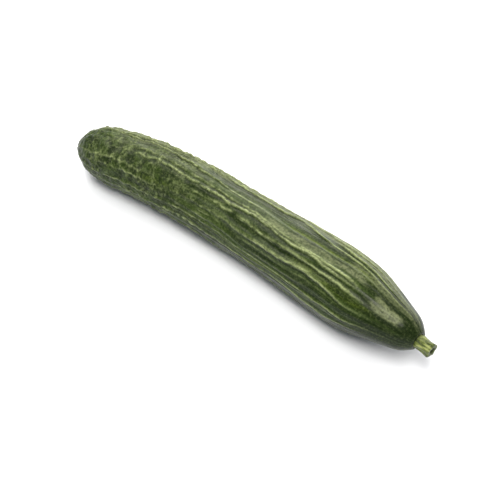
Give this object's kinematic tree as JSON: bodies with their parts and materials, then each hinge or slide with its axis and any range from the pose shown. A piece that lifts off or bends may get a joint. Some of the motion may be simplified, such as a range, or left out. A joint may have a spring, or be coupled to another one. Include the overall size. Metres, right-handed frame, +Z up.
{
  "type": "cucumber",
  "caption": "Whole greenhouse cucumber lying on its side: a long, slightly bowed fruit with wavy lengthwise ribs, a crumpled blossom end, a smooth tapered shoulder and a short cut stem.",
  "frame": {"origin": "on the surface that the cucumber lies on, under the middle of its bounding box", "axes": "+X along the fruit from the blossom end to the stem, +Y towards the side that the fruit bows out to, +Z up"},
  "size_m": [0.3137, 0.0563, 0.0497],
  "materials": {
    "skin": "satin",
    "stem_skin": "matte"
  },
  "bodies": {
    "root": {"fruit": "skin", "stem": "stem_skin"}
  },
  "joints": []
}
